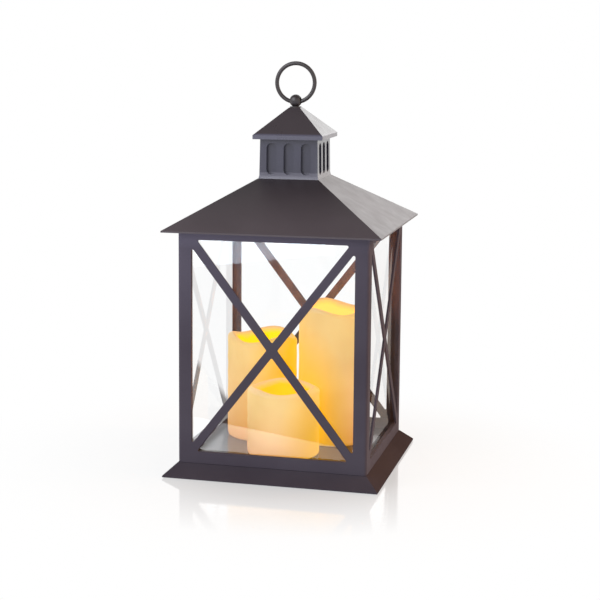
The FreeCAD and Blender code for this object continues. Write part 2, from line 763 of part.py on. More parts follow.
def candle_wax(candle):
    """Hollow shell with a rounded foot, a tapering well and a wavy melted rim."""
    r, h, foot = candle_radius, candle["height"], CANDLE_FOOT_ROUND
    floor = h - WELL_DEPTH
    led_hole = LED_DIA / 2 + LED_HOLE_CLEAR
    outline = [
        (r - foot, 0),
        arc_middle(r - foot, foot, foot, -45),
        (r, foot),
        (r, h),
        (hollow_radius, h),
        (hollow_radius - WELL_DRAFT, floor),
        (led_hole, floor),
        (led_hole, floor - WELL_FLOOR),
        (hollow_radius, floor - WELL_FLOOR),
        (hollow_radius, 0),
    ]
    shell = revolved(outline)
    shell.translate(Vector(0, 0, deck_top))
    shell = shell.common(rim_block(candle))
    x, y = candle["place"]
    shell.translate(Vector(x, y, 0))
    return shell


def led_seat(candle):
    """Height of the stalk's end, just under the floor of the well."""
    return deck_top + candle["height"] - WELL_DEPTH - WELL_FLOOR - HOLDER_CLEAR - LED_FLANGE_THICK


def candle_holder(candle):
    """Disc that centres the wax on the deck, with the stalk that carries the led."""
    x, y = candle["place"]
    disc_top = deck_top + HOLDER_THICK
    pieces = [
        rod(x, y, deck_top, disc_top, 2 * (hollow_radius - HOLDER_CLEAR)),
        rod(x, y, deck_top, led_seat(candle), STALK_DIA),
    ]
    cuts = [rod(x, y, deck_top - PAST, led_seat(candle) + PAST, LEAD_HOLE_DIA)]
    for screw_x, screw_y in candle_screw_places(candle):
        pieces.append(rod(screw_x, screw_y, deck_top, disc_top + HOLDER_BOSS, BOSS_DIA))
        cuts.append(pilot(SMALL_SCREW, screw_x, screw_y, deck_bottom, True))
    return joined(pieces).cut(cuts)


def candle_led(candle):
    """Led with its flange on the stalk and its dome in the well."""
    x, y = candle["place"]
    r = LED_DIA / 2
    outline = [
        (0, 0),
        (LED_FLANGE_DIA / 2, 0),
        (LED_FLANGE_DIA / 2, LED_FLANGE_THICK),
        (r, LED_FLANGE_THICK),
        (r, LED_LENGTH - r),
        arc_middle(0, LED_LENGTH - r, r, 45),
        (0, LED_LENGTH),
    ]
    led = revolved(outline)
    led.translate(Vector(x, y, led_seat(candle)))
    return led


# Roof group

def ceiling_panel():
    """Flat panel on the frames, under the roof."""
    half = eave_half - EAVE_WIDTH - CEILING_CLEAR
    low, high = body_top - PAST, body_top + CEILING_THICK + PAST
    cuts = four_ways(rod(roof_boss_at, roof_boss_at, low, high, BODY_SCREW[0] + 2 * SCREW_FIT))
    for x in (-SIDE_SCREW_AT, SIDE_SCREW_AT):
        cuts += four_ways(rod(x, -BODY_HALF + TOP_SCREW_IN, low, high, RAIL_SCREW[0] + 2 * SCREW_FIT))
    return square_prism(half, body_top, body_top + CEILING_THICK).cut(cuts)


roof_slope = (roof_top - eave_top) / (eave_half - roof_top_half)
roof_drop = ROOF_WALL * math.hypot(1, roof_slope)
band_top = roof_top + TURRET_BAND


def main_roof():
    """Four sided roof shell with a vertical eave lip, corner bosses and a flat top with an opening."""
    lip = square_prism(eave_half, body_top, eave_top)
    outside = joined([lip, square_frustum(eave_half, eave_top, roof_top_half, roof_top)])
    low = body_top - PAST
    low_half = eave_half + (eave_top - low) / roof_slope
    inner_slope = square_frustum(low_half, low - roof_drop, roof_top_half, roof_top - roof_drop)
    hollow = inner_slope.common(square_prism(eave_half - EAVE_WIDTH, low, roof_top))
    boss = rod(roof_boss_at, roof_boss_at, body_top + CEILING_THICK, roof_top, BOSS_DIA).common(outside)
    shell = joined([outside.cut(hollow)] + four_ways(boss))
    under_top, over_top = roof_top - roof_drop - PAST, roof_top + PAST
    cuts = [square_prism(ROOF_HOLE_HALF, under_top, over_top)]
    cuts += four_ways(pilot(BODY_SCREW, roof_boss_at, roof_boss_at, body_top, True))
    turret_hole = RAIL_SCREW[0] + 2 * SCREW_FIT
    cuts += four_ways(rod(turret_screw_at, turret_screw_at, under_top, over_top, turret_hole))
    return shell.cut(cuts)


def slot_outline(x, y):
    """Upright slot with round ends in the plane at y."""
    r = SLOT_WIDTH / 2
    low = band_top + SLOT_ABOVE_BAND + r
    high = low + SLOT_HEIGHT - SLOT_WIDTH
    edges = [
        Part.LineSegment(Vector(x - r, y, high), Vector(x - r, y, low)).toShape(),
        Part.Arc(Vector(x - r, y, low), Vector(x, y, low - r), Vector(x + r, y, low)).toShape(),
        Part.LineSegment(Vector(x + r, y, low), Vector(x + r, y, high)).toShape(),
        Part.Arc(Vector(x + r, y, high), Vector(x, y, high + r), Vector(x - r, y, high)).toShape(),
    ]
    return Part.Face(Part.Wire(edges))


def vent_turret():
    """Tapering box with a flared foot band and round ended blind slots on each side."""
    band = square_frustum(TURRET_FOOT_HALF, roof_top, TURRET_HALF_LOW, band_top)
    outside = joined([band, square_frustum(TURRET_HALF_LOW, band_top, TURRET_HALF_HIGH, turret_top)])
    under_top, over_top = turret_top - TURRET_TOP - PAST, turret_top + PAST
    cuts = [
        square_prism(TURRET_HALF_HIGH - TURRET_WALL, roof_top - PAST, turret_top - TURRET_TOP),
        square_prism(TURRET_HOLE_HALF, under_top, over_top),
    ]
    slot_reach = TURRET_FOOT_HALF - TURRET_HALF_LOW + SLOT_DEPTH
    for i in range(SLOT_COUNT):
        x = (i - (SLOT_COUNT - 1) / 2) * SLOT_PITCH
        cuts += four_ways(slot_outline(x, -TURRET_FOOT_HALF).extrude(Vector(0, slot_reach, 0)))
    cap_hole = RAIL_SCREW[0] + 2 * SCREW_FIT
    cuts += four_ways(rod(cap_boss_at, cap_boss_at, under_top, over_top, cap_hole))
    cuts += four_ways(pilot(RAIL_SCREW, turret_screw_at, turret_screw_at, roof_top - roof_drop, True))
    return outside.cut(cuts)


cap_slope = CAP_RISE / (cap_half - CAP_TOP_HALF)
cap_drop = CAP_WALL * math.hypot(1, cap_slope)


def cap_roof():
    """Small pyramid on the turret, with a fascia, a floor plate and screw bosses."""
    fascia = square_prism(cap_half, turret_top, fascia_top)
    outside = joined([fascia, square_frustum(cap_half, fascia_top, CAP_TOP_HALF, cap_top)])
    ceiling = cap_top - CAP_TOP_THICK
    floor = turret_top + CAP_WALL
    low_half = cap_half + (fascia_top - floor - cap_drop) / cap_slope
    high_half = CAP_TOP_HALF + (cap_top - ceiling - cap_drop) / cap_slope
    hollow = square_frustum(low_half, floor, high_half, ceiling)
    hollow = hollow.common(square_prism(cap_half - CAP_WALL, floor, ceiling))
    boss = rod(cap_boss_at, cap_boss_at, turret_top, turret_top + CAP_BOSS_HEIGHT, BOSS_DIA)
    shell = joined([outside.cut(hollow)] + four_ways(boss))
    cuts = [
        square_prism(TURRET_HOLE_HALF, turret_top - PAST, floor + PAST),
        rod(0, 0, ceiling - PAST, cap_top + PAST, STUD_DIA + 2 * SCREW_FIT),
    ]
    cuts += four_ways(pilot(RAIL_SCREW, cap_boss_at, cap_boss_at, turret_top - TURRET_TOP, True))
    return shell.cut(cuts)


washer_top = cap_top - CAP_TOP_THICK
nut_top = washer_top - WASHER_THICK


def finial():
    """Ball on a collar with a threaded stud below; the ring passes through the ball along X."""
    r, neck = BALL_DIA / 2, NECK_DIA / 2
    collar_top = cap_top + COLLAR_THICK
    stud_end = nut_top - NUT_THICK - STUD_PAST_NUT
    outline = [
        (0, stud_end),
        (STUD_DIA / 2, stud_end),
        (STUD_DIA / 2, cap_top),
        (COLLAR_DIA / 2, cap_top),
        (COLLAR_DIA / 2, collar_top),
        (neck, collar_top),
        (neck, ball_z - math.sqrt(r * r - neck * neck)),
        (r, ball_z, "middle"),
        (0, ball_z + r),
    ]
    return revolved(outline).cut(cross_rod(2 * BALL_DIA, 0, ball_z, BALL_HOLE_DIA))


def finial_nut():
    """Hexagon nut under the washer."""
    corner = NUT_FLATS / 2 / math.cos(math.radians(30))
    angles = [math.radians(60 * i) for i in range(7)]
    points = [Vector(corner * math.cos(a), corner * math.sin(a), nut_top - NUT_THICK) for a in angles]
    nut = Part.Face(Part.makePolygon(points)).extrude(Vector(0, 0, NUT_THICK))
    return nut.cut(rod(0, 0, nut_top - NUT_THICK - PAST, nut_top + PAST, STUD_DIA + 2 * SCREW_FIT))


def finial_washer():
    washer = rod(0, 0, nut_top, washer_top, WASHER_DIA)
    return washer.cut(rod(0, 0, nut_top - PAST, washer_top + PAST, STUD_DIA + 2 * SCREW_FIT))


def hang_ring():
    """Wire ring that stands upright; its lowest stretch runs through the ball."""
    mean = (RING_OUTER_DIA - RING_WIRE_DIA) / 2
    drop = (BALL_HOLE_DIA - RING_WIRE_DIA) / 2 - RING_HOLE_CLEAR
    return Part.makeTorus(mean, RING_WIRE_DIA / 2, Vector(0, 0, ball_z - drop + mean), Vector(0, 1, 0))


# Internal leads: from the board to each led, and from the battery bay to the board

def led_lead(candle, pad):
    """Along the top of the board, under the deck, then up the stalk to the led."""
    z = board_top + LEAD_DIA / 2 + LEAD_LIFT
    x, y = candle["place"]
    return lead([Vector(pad[0], pad[1], z), Vector(x, y, z), Vector(x, y, led_seat(candle) - LEAD_LIFT)])


def battery_lead(side, start_y):
    """From a contact at one end of the bay, along its wall, to the underside of the board."""
    wall = side * (bay_half + BAY_WALL + LEAD_DIA / 2 + LEAD_LIFT)
    z = board_bottom - LEAD_DIA / 2 - LEAD_LIFT
    inward = side * (BOARD_LENGTH / 2 - LEAD_DIA)
    return lead(
        [
            Vector(wall, start_y, z),
            Vector(wall, BOARD_Y + BOARD_WIDTH, z),
            Vector(inward, BOARD_Y + BOARD_WIDTH / 2 + BOARD_BOSS_DIA, z),
            Vector(side * BATTERY_PAD_X, BATTERY_PAD_Y, z),
        ]
    )


def contact_tab(side, index):
    """Solder tab of the contact sheet, through the end wall of the bay."""
    length = BAY_WALL + LEAD_LIFT
    z = board_bottom - LEAD_DIA / 2 - LEAD_LIFT
    x = side * (bay_half + length / 2)
    return block(x, cell_y(index), length, TAB_WIDTH, z - CONTACT_SHEET / 2, z + CONTACT_SHEET / 2)


def feet():
    pads = []
    for pad in four_ways(rod(foot_at, foot_at, 0, cover_bottom + FOOT_SEAT, FOOT_DIA)):
        rim = [e for e in pad.Edges if e.BoundBox.ZMax < SAME_HEIGHT]
        pads.append(pad.makeChamfer(FOOT_EDGE, rim))
    return Part.makeCompound(pads)


def screw_group(kind, places, z, points_up):
    return Part.makeCompound([screw(kind, x, y, z, points_up) for x, y in places])


def around(places):
    """The (x, y) places repeated on the four sides."""
    turned = []
    for x, y in places:
        for _ in range(4):
            turned.append((x, y))
            x, y = -y, x
    return turned


nodes = {}
nodes["plinth"] = plinth()
nodes["deck"] = deck()
cover = bottom_cover()
tabs = [contact_tab(1, 0), contact_tab(-1, CELL_COUNT - 1)]
nodes["bottom_cover"] = cover.cut(tabs)
nodes["battery_door"] = battery_door()
for index in range(CELL_COUNT):
    nodes["battery_%d" % (index + 1)] = cell(index)
plates = [contact_plate(index) for index in range(CELL_COUNT)]
springs = [contact_spring(index) for index in range(CELL_COUNT)]
plates[0] = joined([plates[0], tabs[0]])
springs[-1] = joined([springs[-1], tabs[1]])
nodes["contact_plates"] = Part.makeCompound(plates)
nodes["contact_springs"] = Part.makeCompound(springs)
nodes["circuit_board"] = circuit_board()
nodes["board_components"] = board_components()
nodes["switch_body"] = switch_body()
nodes["switch_slider"] = switch_slider()
nodes["switch_knob"] = switch_knob()
nodes["feet"] = feet()
battery_leads = [battery_lead(1, cell_y(0)), battery_lead(-1, cell_y(CELL_COUNT - 1))]
nodes["battery_leads"] = Part.makeCompound(battery_leads)
nodes["led_leads"] = Part.makeCompound([led_lead(CANDLES[name], pad) for name, pad in LED_PADS.items()])
for name, candle in CANDLES.items():
    nodes["candle_%s_wax" % name] = candle_wax(candle)
    nodes["candle_%s_holder" % name] = candle_holder(candle)
    nodes["candle_%s_led" % name] = candle_led(candle)
for turns, side in enumerate(("front", "right", "back", "left")):
    nodes[side + "_frame"] = quarter_turn(side_frame(), turns)
    nodes[side + "_pane"] = quarter_turn(pane(), turns)
nodes["ceiling_panel"] = ceiling_panel()
nodes["main_roof"] = main_roof()
nodes["vent_turret"] = vent_turret()
nodes["cap_roof"] = cap_roof()
nodes["finial"] = finial()
nodes["finial_washer"] = finial_washer()
nodes["finial_nut"] = finial_nut()
nodes["hang_ring"] = hang_ring()

candle_places = [place for candle in CANDLES.values() for place in candle_screw_places(candle)]
bottom_places = around([(x, -BODY_HALF + BOTTOM_SCREW_IN) for x in (-SIDE_SCREW_AT, SIDE_SCREW_AT)])
top_places = around([(x, -BODY_HALF + TOP_SCREW_IN) for x in (-SIDE_SCREW_AT, SIDE_SCREW_AT)])
cover_places = around([(cover_screw_at, cover_screw_at)])
roof_places = around([(roof_boss_at, roof_boss_at)])
turret_places = around([(turret_screw_at, turret_screw_at)])
cap_places = around([(cap_boss_at, cap_boss_at)])
nodes["candle_screws"] = screw_group(SMALL_SCREW, candle_places, deck_bottom, True)
nodes["board_screws"] = screw_group(SMALL_SCREW, BOARD_BOSSES, board_top, False)
nodes["cover_screws"] = screw_group(BODY_SCREW, cover_places, cover_bottom + COVER_CUP_DEPTH, True)
nodes["frame_screws"] = screw_group(BODY_SCREW, bottom_places, ledge_bottom, True)
nodes["ceiling_screws"] = screw_group(RAIL_SCREW, top_places, body_top + CEILING_THICK, False)
nodes["roof_screws"] = screw_group(BODY_SCREW, roof_places, body_top, True)
nodes["turret_screws"] = screw_group(RAIL_SCREW, turret_places, roof_top - roof_drop, True)
nodes["cap_screws"] = screw_group(RAIL_SCREW, cap_places, turret_top - TURRET_TOP, True)

for name, shape in nodes.items():
    save(name, shape)
    bounds = shape.BoundBox
    spans = (bounds.XMin, bounds.XMax, bounds.YMin, bounds.YMax, bounds.ZMin, bounds.ZMax)
    facts = (name, len(shape.Solids), shape.isValid(), shape.Volume)
    print("%-22s solids %d valid %s volume %9.1f" % facts, "  x %.1f %.1f  y %.1f %.1f  z %.1f %.1f" % spans)
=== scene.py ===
"""Looks of the led candle lantern: coated case, clear panes, glowing wax candles, studio and camera."""

import math

import bmesh
import bpy
from mathutils import Matrix, Vector

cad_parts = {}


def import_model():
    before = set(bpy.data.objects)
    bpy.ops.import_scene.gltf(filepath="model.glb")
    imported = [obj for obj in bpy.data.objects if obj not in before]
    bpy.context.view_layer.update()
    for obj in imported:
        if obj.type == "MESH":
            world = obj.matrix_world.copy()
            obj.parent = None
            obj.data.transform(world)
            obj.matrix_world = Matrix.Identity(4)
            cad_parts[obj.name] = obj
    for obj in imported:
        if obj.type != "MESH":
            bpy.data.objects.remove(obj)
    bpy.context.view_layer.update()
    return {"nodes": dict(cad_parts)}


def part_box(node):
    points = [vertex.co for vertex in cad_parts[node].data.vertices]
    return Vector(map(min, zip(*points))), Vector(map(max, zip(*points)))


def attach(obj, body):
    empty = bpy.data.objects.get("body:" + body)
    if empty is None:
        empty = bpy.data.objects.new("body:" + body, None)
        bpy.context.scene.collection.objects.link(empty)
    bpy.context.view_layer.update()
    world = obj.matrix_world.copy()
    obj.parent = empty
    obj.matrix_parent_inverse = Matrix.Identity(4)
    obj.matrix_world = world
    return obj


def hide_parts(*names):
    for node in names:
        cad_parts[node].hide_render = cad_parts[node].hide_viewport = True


MM = 0.001
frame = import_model()
nodes = frame["nodes"]
scene = bpy.context.scene
scene.view_settings.view_transform = "Standard"

# Sides, candles and the pieces that each side has
SIDES = ("front", "right", "back", "left")
FRAMES = [side + "_frame" for side in SIDES]
PANES = [side + "_pane" for side in SIDES]
CANDLES = ("small", "medium", "tall")

# Photograph's frame in pixels, and the camera that was fitted to the lantern's corners in it
PHOTO_SIDE = 600
PRINCIPAL_U = 210
PRINCIPAL_V = 264
FOCAL_PIXELS = 1609.3
SENSOR_WIDTH = 36.0
CAMERA_YAW = math.radians(16.17)
CAMERA_PITCH = math.radians(8.35)
CAMERA_RIGHT = -88.5 * MM
CAMERA_UP = 206.5 * MM
CAMERA_BACK = 1716.5 * MM
CAMERA_LIFT = 1.0 * MM

# Soft edges of the mouldings
WELD_GAP = 0.002 * MM
SOFT_SEGMENTS = 2
SOFT_ANGLE = math.radians(35)

# Melted rims: their mean height from the wax's top, the tilt and the direction of its high side, the height
# of the lobes and the direction of the first one, and the phase of the wall's wave; directions are in
# degrees, and the phase is in radians
RIMS = {
    "small": {
        "mean": -1.6 * MM,
        "tilt": 0.6 * MM,
        "tilt_to": 60,
        "lobes": 1.3 * MM,
        "lobe_at": -20,
        "wall_phase": 0.4,
    },
    "medium": {
        "mean": -3.4 * MM,
        "tilt": 0.9 * MM,
        "tilt_to": 80,
        "lobes": 2.7 * MM,
        "lobe_at": -43,
        "wall_phase": 1.3,
    },
    "tall": {
        "mean": -3.6 * MM,
        "tilt": 1.5 * MM,
        "tilt_to": 150,
        "lobes": 2.8 * MM,
        "lobe_at": 3,
        "wall_phase": 2.6,
    },
}
LOBES = 3

# A candle's section: rounded foot, side, rolled rim with crest and lip, tapering well and its dished floor
FOOT_ROUND = 4.0 * MM
RIM_ROUND = 4.5 * MM
RIM_WALL = 8.0 * MM
CREST_SHARE = 0.55
LIP_FALL = 4.0 * MM
LIP_TURN = math.radians(70)
WELL_DEPTH = 20.0 * MM
WELL_TAPER = 5.0 * MM
WELL_BOW = 1.5
LED_HOLE = 4.4 * MM
DISH = 0.6 * MM
QUARTER_TURN = math.radians(90)

# Steps along each stretch of that section, and sections round a candle
FOOT_STEPS = 4
SIDE_STEPS = 14
RIM_STEPS = 5
LIP_STEPS = 4
WELL_STEPS = 8
DISH_STEPS = 4
OUTER_ROWS = FOOT_STEPS + SIDE_STEPS + RIM_STEPS
CANDLE_SIDES = 144

# Unevenness of the wax: waves of the rim's wall as shares of it, and hollows that wind up round the side
WALL_WAVE = 0.22
WALL_WAVES = 2
WALL_RIPPLE = 0.1
WALL_RIPPLES = 5
HOLLOW = 0.25 * MM
HOLLOWS = 3
HOLLOW_TWIST = 0.5 / MM

# Wax: its colours, dark and pale, the colours of its painted glow from the foot up, and a painted highlight
# that glows paler at the rim, with its depth below the top and its share
WAX = ((0.52, 0.35, 0.20), (0.58, 0.41, 0.24))
WAX_GLOW = ((0.50, 0.20, 0.015), (0.60, 0.40, 0.10))
RIM_HIGHLIGHT = (0.62, 0.46, 0.28)
RIM_HIGHLIGHT_DEPTH = 7.0 * MM
RIM_HIGHLIGHT_SHARE = 0.7

# Well: a painted pool of the led's light, in its colours by the rim and at its floor, and in those that it
# glows in
WELL_LIT_WAX = ((0.60, 0.42, 0.24), (0.7, 0.42, 0.0))
WELL_RIM = (0.60, 0.35, 0.12)
WELL_GLOWS = {"small": (0.78, 0.36, 0.0), "medium": (0.86, 0.56, 0.0), "tall": (0.90, 0.56, 0.15)}

# Painted shade and glow where the candles stand close: places where the wax glows deeper and takes a shaded
# colour, and the share of each candle in it
CLOSE_SHADE_PLACES = (
    ((15.0 * MM, -7.0 * MM, 36.0 * MM), {"small": 0.9, "medium": 0.7, "tall": 1.0}),
    ((-8.0 * MM, 22.0 * MM, 95.0 * MM), {"small": 1.0, "medium": 1.0, "tall": 0.25}),
    ((40.0 * MM, -48.0 * MM, 26.0 * MM), {"small": 0.8}),
)
CLOSE_NEAR = 12.0 * MM
CLOSE_FAR = 50.0 * MM
CLOSE_STRETCH = (1.0, 1.0, 0.45)
CLOSE_PAINTED_GLOW = (0.66, 0.36, 0.0)
CLOSE_PAINTED_SHADE = (0.55, 0.33, 0.01)

# Panes: the share that they mirror when seen square on, and how fast it grows at a slant
PANE_MIRROR = 0.02
MIRROR_POWER = 9.0

# Painted reflection on the panes' inner faces: a pale veil that glows, seen at a slant and weaker below a
# tilted edge
PAINTED_VEIL = 1.48
VEIL_MOST = 0.84
VEIL_POWER = 2.0
VEIL_GLOW = 0.97
VEIL_TILT = 0.55
VEIL_EDGE = 82.5 * MM
VEIL_SOFT = 5.0 * MM
VEIL_LOW = 0.25

# Painted light and shade on the coat: Y of a normal that is fully front, the roof's painted shade by the
# turret, and the foot bands with their painted highlights
FULLY_FRONT = -0.4
ROOF_TOP_SHADE = 0.35
TURRET_BAND = 6.0 * MM
TURRET_BAND_HIGHLIGHT = (0.135, 0.130, 0.175)
CAP_BAND = 5.0 * MM
CAP_BAND_HIGHLIGHT = (0.100, 0.095, 0.145)
BAND_SOFT = 1.0 * MM

# Painted light on the front frame, a paler tone that lifts the eave's shadow and brightens the front towards
# the top: its colour, three depths below its top, the share at the middle one, and left and right
EAVE_PAINTED_LIGHT = (0.205, 0.188, 0.262)
PALE_FOOT = 122 * MM
PALE_MIDDLE = 17 * MM
PALE_TOP = 2 * MM
PALE_SHARE = 0.31
PALE_LEFT = 1.08
PALE_RIGHT = 0.5

# Range that most values of a noise lie in
NOISE_LOW = 0.3
NOISE_HIGH = 0.7

WHITE = (1.0, 1.0, 1.0)

# Lamps: the leds' light, the lamp behind the lantern, and two bright sheets that its front pane mirrors
LED_POWER = 0.26
LED_COLOUR = (1.0, 0.36, 0.09)
LED_SOFT = 12 * MM
LED_ABOVE = 4 * MM
BACK_SIZE = (1.3, 1.2)
BACK_SHEEN = 0.88
SHEET_Y = -125 * MM
SHEET_SPREAD = math.radians(64)
LOW_EDGE = ((-86.8 * MM, 52.8 * MM), (57.5 * MM, 33.1 * MM))
HIGH_EDGE = ((-55.3 * MM, 215.9 * MM), (-4.2 * MM, 222.6 * MM))

# Floor: its half side, the reach of the shade and of the sheen, and the tones that glossy pieces mirror
FLOOR_HALF = 6.0
SHADE_NEAR = 0.14
SHADE_FAR = 0.37
SHADE_POWER = 1.5
FLOOR_SHADE = 0.27
FLOOR_LIFT = 1.08
SHEEN_NEAR = 0.12
SHEEN_FAR = 0.27
FLOOR_SHEEN = 0.34
FLOOR_BOUNCE = 0.65
TONE_FRONT = -0.1
TONE_BACK = 0.2
FLOOR_TONES = ((0.88, 0.89, 1.0), (0.66, 0.58, 0.52))
TONE_NEAR = 1.4
TONE_FAR = 2.2

# World: its strength as light on the object, and how it darkens overhead for all but the camera
WORLD_LIGHT = 0.40
OVERHEAD_START = 0.45
OVERHEAD_END = 0.85
OVERHEAD = 0.28


# Node trees


class Tree:
    """A node tree with short ways to add and join nodes."""

    def __init__(self, tree):
        self.tree = tree

    def node(self, kind, inputs=None, **settings):
        """A new node with its own settings, and with values or outputs of other nodes put on its inputs."""
        made = self.tree.nodes.new("ShaderNode" + kind)
        for key, value in settings.items():
            setattr(made, key, value)
        for key, value in (inputs or {}).items():
            self.put(value, made.inputs[key])
        return made

    def put(self, value, socket):
        """Joins an output to the socket, or writes a plain value on it, where a colour is opaque."""
        if isinstance(value, bpy.types.NodeSocket):
            self.tree.links.new(value, socket)
        elif socket.type == "RGBA":
            socket.default_value = (*value, 1.0)
        else:
            socket.default_value = value

    def axis(self, vector, letter):
        return self.node("SeparateXYZ", {"Vector": vector}).outputs[letter]

    def span(self, value, from_low, from_high, to_low, to_high):
        """The value carried over from one range to another, and held at that range's ends."""
        settings = {
            "Value": value,
            "From Min": from_low,
            "From Max": from_high,
            "To Min": to_low,
            "To Max": to_high,
        }
        return self.node("MapRange", settings).outputs["Result"]

    def maths(self, operation, first, second):
        return self.node("Math", {0: first, 1: second}, operation=operation).outputs["Value"]

    def times(self, product, *factors):
        for factor in factors:
            product = self.maths("MULTIPLY", product, factor)
        return product

    def vector(self, operation, first, second):
        return self.node("VectorMath", {0: first, 1: second}, operation=operation)

    def length(self, vector):
        return self.node("VectorMath", {0: vector}, operation="LENGTH").outputs["Value"]

    def glow(self, colour, strength):
        return self.node("Emission", {"Color": colour, "Strength": strength}).outputs["Emission"]

    def blend(self, share, first, second):
        """The first shader where the share is 0, and the second where it is 1."""
        return self.node("MixShader", {"Fac": share, 1: first, 2: second}).outputs["Shader"]


class Shader(Tree):
    """A new material's node tree, with its surface shader, and the object's places and normals."""

    def __init__(self, name):
        self.material = bpy.data.materials.new(name)
        self.material.use_nodes = True
        super().__init__(self.material.node_tree)
        self.surface = self.tree.nodes["Principled BSDF"]
        self.output = self.tree.nodes["Material Output"].inputs["Surface"]
        places = self.node("TexCoord")
        self.coords = places.outputs["Object"]
        self.normal = places.outputs["Normal"]

    def set(self, **values):
        """Values for the surface shader's sockets, with underscores for the spaces in their names."""
        for key, value in values.items():
            self.put(value, self.surface.inputs[key.replace("_", " ")])

    def noise(self, scale, detail=3.0, roughness=0.5, stretch=None):
        vector = self.coords
        if stretch:
            vector = self.node("Mapping", {"Vector": vector, "Scale": stretch}).outputs["Vector"]
        settings = {"Vector": vector, "Scale": scale, "Detail": detail, "Roughness": roughness}
        return self.node("TexNoise", settings).outputs["Fac"]

    def vary(self, noise, low, high):
        """Number that runs from low to high over most of a noise's values."""
        return self.span(noise, NOISE_LOW, NOISE_HIGH, low, high)

    def ramp(self, factor, low, high, low_at=0.35, high_at=0.65):
        """Colour that runs from low to high as the factor goes from low_at to high_at."""
        made = self.node("ValToRGB", {"Fac": factor})
        first, last = made.color_ramp.elements
        first.position, last.position = low_at, high_at
        first.color, last.color = (*low, 1), (*high, 1)
        return made.outputs["Color"]

    def mix(self, share, first, second):
        """The first colour where the share is 0, and the second where it is 1."""
        made = self.node("Mix", data_type="RGBA")
        self.put(share, made.inputs["Factor"])
        colours = [socket for socket in made.inputs if socket.type == "RGBA"]
        self.put(first, colours[0])
        self.put(second, colours[1])
        return next(socket for socket in made.outputs if socket.type == "RGBA")

    def front(self):
        """1 on surfaces that face the front, falling to 0 on those that stand square to it."""
        return self.span(self.axis(self.normal, "Y"), FULLY_FRONT, 0.0, 1.0, 0.0)

    def bump(self, height, distance, strength):
        settings = {"Height": height, "Distance": distance, "Strength": strength}
        self.set(Normal=self.node("Bump", settings).outputs["Normal"])


# Painted light and shade: each takes a coat's colour and gives it back with another tone on part of a piece


def roof_painted_shade(shader, coat):
    """Painted shade: a deeper tone on the roof's front, towards the turret, for the turret's shade and dark
    reflection there.
    """
    low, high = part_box("main_roof")
    tone = shader.span(shader.axis(shader.coords, "Z"), low.z, high.z, 1.0, ROOF_TOP_SHADE)
    deep = shader.node("VectorMath", {0: coat, "Scale": tone}, operation="SCALE").outputs["Vector"]
    return shader.mix(shader.front(), coat, deep)


def eave_painted_light(shader, coat):
    """Painted light: a paler tone on the front frame, from half way up to the rail under the eave, less at
    the right, that lifts the eave's shadow.
    """
    low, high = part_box("front_frame")
    height = shader.axis(shader.coords, "Z")
    slow = shader.span(height, high.z - PALE_FOOT, high.z - PALE_MIDDLE, 0.0, 1.0)
    steep = shader.span(height, high.z - PALE_MIDDLE, high.z - PALE_TOP, PALE_SHARE, 1.0)
    across = shader.span(shader.axis(shader.coords, "X"), low.x, high.x, PALE_LEFT, PALE_RIGHT)
    return shader.mix(shader.times(slow, steep, shader.front(), across), coat, EAVE_PAINTED_LIGHT)


def band_painted_highlight(name, band, colour):
    """Makes a painted highlight: a paler colour on the lowest band of the named piece, where its foot
    catches the light.
    """
    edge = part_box(name)[0].z + band

    def painted_lighting(shader, coat):
        height = shader.axis(shader.coords, "Z")
        return shader.mix(shader.span(height, edge, edge + BAND_SOFT, 1.0, 0.0), coat, colour)

    return painted_lighting


# Materials


def coated(name, low, high, roughness, specular, lacquer=0.0, haze=0.1, painted_lighting=None):
    """Satin spray coat on a moulding: cloudy tone, fine orange peel, rubbed specks and a lacquer."""
    shader = Shader(name)
    coat = shader.ramp(shader.noise(scale=14.0, detail=4.0), low, high)
    # Painted light, shade or highlight on part of the piece, as the given function makes it
    if painted_lighting:
        coat = painted_lighting(shader, coat)
    peel = shader.noise(scale=900.0, detail=2.0)
    rub = shader.noise(scale=60.0, detail=5.0, roughness=0.6)
    shader.set(Base_Color=coat, Roughness=shader.vary(rub, roughness - 0.05, roughness + 0.06))
    shader.set(Specular_IOR_Level=specular, Coat_Weight=lacquer, Coat_Roughness=haze)
    shader.bump(peel, distance=0.06 * MM, strength=0.5)
    return shader.material


def plastic(name, low, high, roughness, grain):
    """Moulded plastic with a fine spark-eroded grain."""
    shader = Shader(name)
    shader.set(Base_Color=shader.ramp(shader.noise(scale=30.0), low, high))
    shader.set(Roughness=shader.vary(shader.noise(scale=200.0), roughness - 0.05, roughness + 0.05))
    shader.bump(shader.noise(scale=2600.0, detail=2.0), distance=grain, strength=0.7)
    return shader.material


def metal(name, low, high, roughness):
    """Plated metal with faint streaks that run level."""
    shader = Shader(name)
    streaks = shader.noise(scale=120.0, detail=4.0, stretch=(1.0, 1.0, 8.0))
    shader.set(Base_Color=shader.ramp(streaks, low, high), Metallic=1.0)
    shader.set(Roughness=shader.vary(shader.noise(scale=400.0), roughness - 0.06, roughness + 0.06))
    shader.bump(streaks, distance=0.02 * MM, strength=0.4)
    return shader.material


